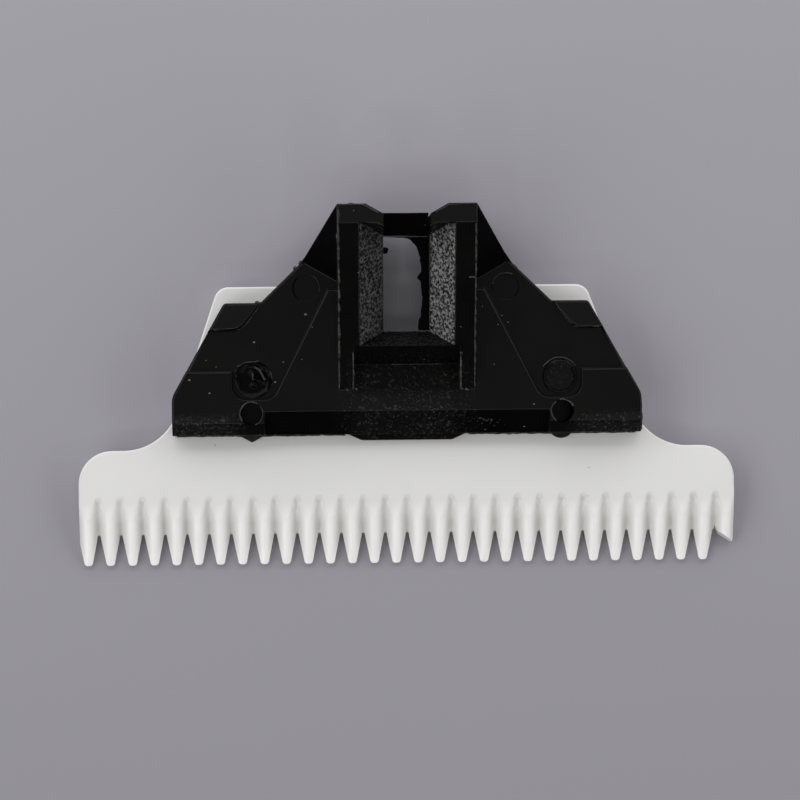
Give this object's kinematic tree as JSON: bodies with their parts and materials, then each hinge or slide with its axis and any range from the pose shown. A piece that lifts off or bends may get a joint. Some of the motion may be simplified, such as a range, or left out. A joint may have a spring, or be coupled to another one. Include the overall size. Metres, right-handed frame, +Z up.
{
  "type": "hair clipper blade",
  "caption": "Moving cutter blade of a hair clipper: flat white ceramic plate with a ground tooth row and a black moulded follower whose funnel yoke takes the drive pin.",
  "frame": {"origin": "middle of the ceramic plate's lapped underside, half-way between the tooth tips and the back edge", "axes": "+X along the tooth row to the broken tooth's end, +Y from the teeth towards the drive yoke, +Z up out of the plate's top"},
  "size_m": [0.0446, 0.0241, 0.0082],
  "materials": {
    "ceramic": null,
    "follower_plastic": "black moulded acetal, satin, with a spark-eroded texture in the funnel",
    "adhesive": "cured dark adhesive"
  },
  "bodies": {
    "root": {"cutter_plate": "ceramic", "drive_follower": "follower_plastic", "adhesive_bead_left": "adhesive", "adhesive_bead_right": "adhesive"}
  },
  "joints": []
}
